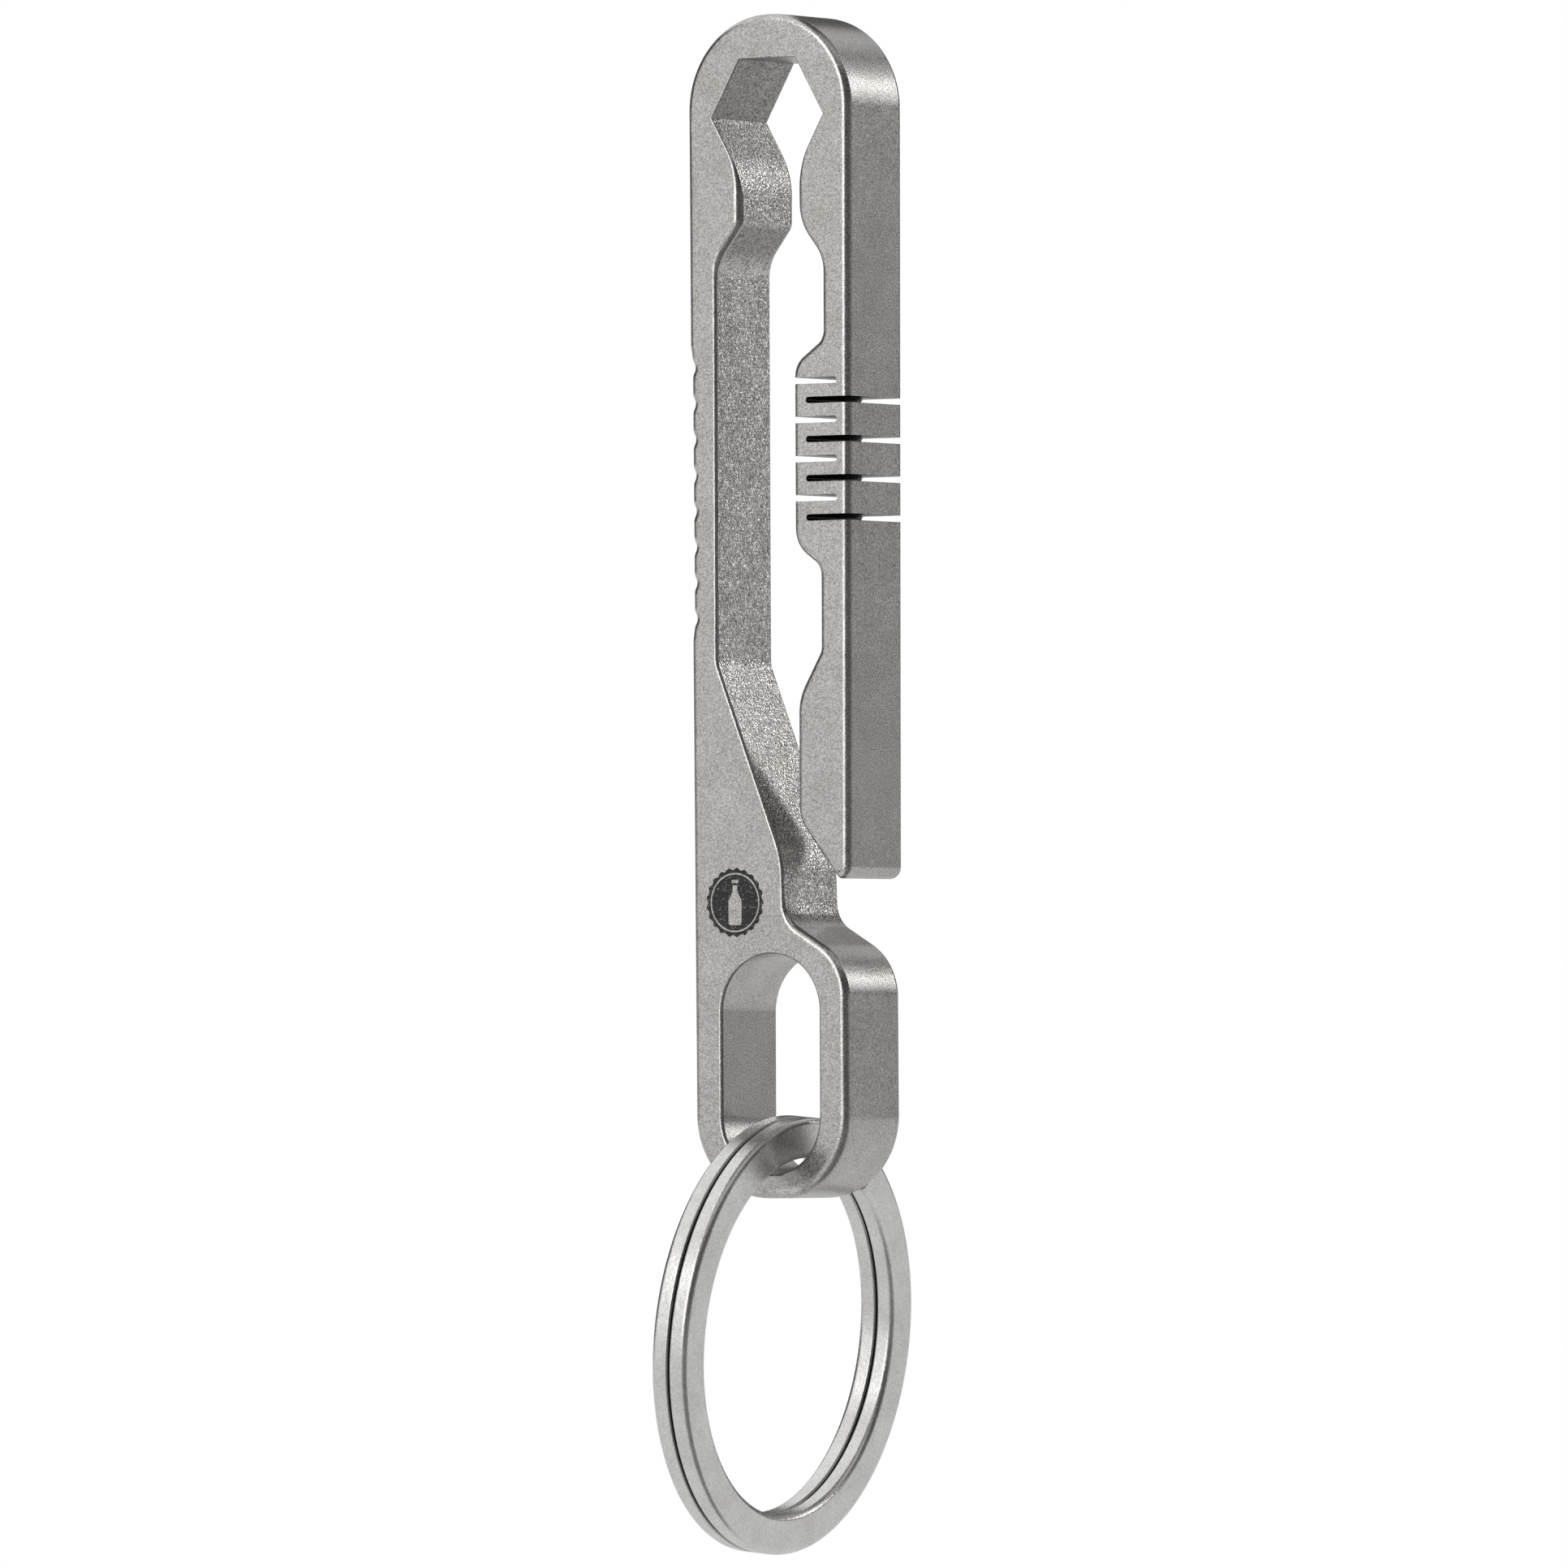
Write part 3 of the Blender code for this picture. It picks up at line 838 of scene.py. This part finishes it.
def blasted_titanium():
    """Bead-blasted and tumbled titanium: fine specks on the faces, and winding furrows on coarse walls."""
    shader = Shader("blasted_titanium")
    grain = shader.attribute("grain")
    coarse = shader.spread(grain, FINE, MEDIUM)
    patches = shader.noise(1.1, detail=3, roughness=0.7)
    # Wear and painted highlight along the edges, in patches; it also smooths the surface there.
    worn_and_highlighted = shader.math("MULTIPLY", shader.attribute("wear_and_highlight"), shader.spread(patches, 0.35, 0.6))
    specks = shader.noise(11, detail=2, roughness=0.6)
    worms = shader.distance(shader.noise(5.4, detail=0.8, roughness=0.4), 0.5)
    tone = titanium_tone(shader, grain, coarse, worn_and_highlighted, specks, worms)
    # Less metal in the painted shade of slots, so it stays dark.
    shader.set(base_color=tone, metallic=shader.spread(grain, PAINTED_GAP_SHADE, SMOOTH, 0.2, 1.0))
    rough = shader.spread(specks, 0.3, 0.7, 0.22, 0.32)
    shader.set(roughness=shader.math("SUBTRACT", rough, shader.spread(worn_and_highlighted, 0, 1, 0, 0.06)))
    fine_relief = shader.math("MULTIPLY", specks, 0.1)
    coarse_relief = shader.math("MULTIPLY", worms, coarse)
    shader.bump(shader.math("ADD", coarse_relief, fine_relief), 0.065 * MM)
    return shader.material


def etched_titanium():
    """Laser-darkened metal, drawn in close raster lines with bright specks left between them."""
    shader = Shader("etched_titanium")
    raster = shader.noise(3, detail=1, stretch=(0.4, 1, 6))
    specks = shader.noise(11, detail=1)
    tone = shader.blend(raster, ETCHED_DARK, ETCHED_LIGHT)
    tone = shader.blend(shader.spread(specks, 0.6, 0.72), tone, ETCHED_SPECK)
    shader.set(base_color=tone, metallic=0.4, roughness=0.6)
    shader.bump(specks, 0.01 * MM)
    return shader.material


def satin_ring_metal():
    """Tumbled ring wire: smoother and lighter than the plate, with small scuffs and painted shade in the
    seam.
    """
    shader = Shader("satin_ring_metal")
    clouds = shader.noise(0.5, detail=4, roughness=0.6)
    scuffs = shader.noise(5, detail=3, roughness=0.65)
    specks = shader.noise(9, detail=2, roughness=0.6)
    tone = shader.blend(shader.spread(clouds, 0.35, 0.65), RING_DARK, RING_LIGHT)
    tone = shader.brighten(tone, shader.spread(specks, 0.3, 0.7, 0.84, 1.14))
    # Painted shade: the ring's closed seam is painted nearly black.
    tone = shader.brighten(tone, shader.spread(shader.attribute("grain"), PAINTED_GAP_SHADE, SMOOTH, 0.03, 1.0))
    shader.set(base_color=tone, metallic=1.0)
    shader.set(roughness=shader.spread(scuffs, 0.3, 0.7, 0.24, 0.34))
    shader.bump(scuffs, 0.012 * MM)
    return shader.material


# ---------------------------------------------------------------- studio

def direction(azimuth, elevation):
    """A unit vector from the object: azimuth 0 is the front, 90 the gate side, 180 the back."""
    a, e = math.radians(azimuth), math.radians(elevation)
    return Vector((math.sin(a) * math.cos(e), -math.cos(a) * math.cos(e), math.sin(e)))


def softbox(name, azimuths, elevations, radiance, centre):
    """A rectangular light that fills a range of directions, seen from the object, at one brightness."""
    azimuth, elevation = sum(azimuths) / 2, sum(elevations) / 2
    wide = math.radians(azimuths[1] - azimuths[0]) / 2
    high = math.radians(elevations[1] - elevations[0]) / 2
    lamp = bpy.data.lights.new(name, "AREA")
    lamp.shape = "RECTANGLE"
    lamp.size = 2 * LIGHT_DISTANCE * math.tan(wide) * math.cos(math.radians(elevation))
    lamp.size_y = 2 * LIGHT_DISTANCE * math.tan(high)
    lamp.energy = radiance * math.pi * lamp.size * lamp.size_y
    placed = bpy.data.objects.new(name, lamp)
    away = direction(azimuth, elevation)
    placed.location = centre + away * LIGHT_DISTANCE
    placed.rotation_mode = "QUATERNION"
    placed.rotation_quaternion = away.to_track_quat("Z", "Y")
    bpy.context.scene.collection.objects.link(placed)


def studio_lights(centre):
    for name, (azimuths, elevations, radiance) in LIGHTS.items():
        softbox(name, azimuths, elevations, radiance, centre)


def pale_world():
    """White to the camera, and a dim even room to the object."""
    world = bpy.data.worlds.new("pale_room")
    world.use_nodes = True
    tree = world.node_tree
    room = tree.nodes["Background"]
    room.inputs["Color"].default_value = ROOM_COLOUR
    room.inputs["Strength"].default_value = ROOM_BRIGHTNESS
    white = tree.nodes.new("ShaderNodeBackground")
    white.inputs["Color"].default_value = WHITE
    rays = tree.nodes.new("ShaderNodeLightPath")
    mix = tree.nodes.new("ShaderNodeMixShader")
    tree.links.new(rays.outputs["Is Camera Ray"], mix.inputs[0])
    tree.links.new(room.outputs[0], mix.inputs[1])
    tree.links.new(white.outputs[0], mix.inputs[2])
    tree.links.new(mix.outputs[0], tree.nodes["World Output"].inputs["Surface"])
    bpy.context.scene.world = world


def floor_paint():
    """White far away and nearly white close by, where it takes soft shadows.

    In reflections it is an even glow, but for a darker side of painted shade that gives the plate's edges
    their dark line.
    """
    shader = Shader("pale_floor")
    shader.set(base_color=FLOOR_COLOUR, roughness=0.8)
    seen = shader.tree.nodes.new("ShaderNodeLightPath").outputs["Is Camera Ray"]
    away = shader.measure("LENGTH", shader.place)
    fade = shader.spread(away, *FLOOR_FADE_MM, FLOOR_GLOW, 1.0, interpolation="SMOOTHSTEP")
    outwards = shader.vector("NORMALIZE", shader.place)
    # Painted shade on the floor's glow, darker towards one side.
    towards_painted_shade = shader.measure("DOT_PRODUCT", outwards, direction(FLOOR_PAINTED_SHADE_AZIMUTH, 0))
    reflected = shader.spread(towards_painted_shade, *FLOOR_PAINTED_SHADE_EDGE, FLOOR_REFLECTED, FLOOR_PAINTED_SHADE_GLOW)
    shader.glow(shader.spread(seen, 0, 1, reflected, 1.0), shader.spread(seen, 0, 1, 1.0, fade))
    return shader.material


def pale_floor(centre, level):
    bpy.ops.mesh.primitive_circle_add(
        vertices=FLOOR_SIDES, radius=FLOOR_RADIUS, fill_type="NGON", location=(centre.x, centre.y, level)
    )
    floor = bpy.context.object
    floor.name = "pale_floor"
    floor.data.materials.append(floor_paint())


def studio_camera():
    camera = bpy.data.cameras.new("camera")
    camera.lens = CAMERA_LENS
    camera.sensor_width = CAMERA_SENSOR
    placed = bpy.data.objects.new("camera", camera)
    placed.location = CAMERA_AT
    turned = Matrix.Rotation(CAMERA_AZIMUTH, 4, "Z")
    tilted = Matrix.Rotation(math.pi / 2 + CAMERA_TILT_UP, 4, "X")
    rolled = Matrix.Rotation(CAMERA_ROLL, 4, "Z")
    placed.rotation_mode = "QUATERNION"
    placed.rotation_quaternion = (turned @ tilted @ rolled).to_quaternion()
    bpy.context.scene.collection.objects.link(placed)
    bpy.context.scene.camera = placed


# ---------------------------------------------------------------- assembly


def build_plate(lift):
    metal = blasted_titanium()
    spine = plate_piece(
        "spine_plate", spine_outline(), [metal, etched_titanium()], lift,
        holes=[eye_outline()], marked=True,
    )
    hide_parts("spine_frame")
    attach(spine, "spine")
    gate = plate_piece("gate_blade", gate_outline(), [metal], lift)
    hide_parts("gate_arm")
    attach(gate, "gate")
    for index in range(SLOT_COUNT):
        web = plate_piece(f"flexure_web_{index + 1}", web_outline(index), [metal], lift)
        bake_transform(web)
        if index + 1 < SLOT_COUNT:
            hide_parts(f"flexure_leaf_{index + 1}")


def build_ring(lift):
    ring = split_ring_piece(satin_ring_metal(), lift)
    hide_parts("split_ring")
    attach(ring, "key_ring")


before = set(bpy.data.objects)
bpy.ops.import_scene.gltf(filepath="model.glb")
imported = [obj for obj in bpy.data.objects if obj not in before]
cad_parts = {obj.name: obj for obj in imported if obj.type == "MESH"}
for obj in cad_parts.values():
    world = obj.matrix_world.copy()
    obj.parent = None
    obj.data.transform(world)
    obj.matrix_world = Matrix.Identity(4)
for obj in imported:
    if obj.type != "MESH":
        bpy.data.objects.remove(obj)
cad_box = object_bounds()
centre = (cad_box[0] + cad_box[1]) / 2
head_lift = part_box("spine_frame")[1].z - HEAD_TOP * MM
build_plate(head_lift)
build_ring(head_lift)
studio_lights(centre)
pale_world()
pale_floor(centre, cad_box[0].z - FLOOR_DROP)
studio_camera()
bpy.context.scene.view_settings.view_transform = "Standard"
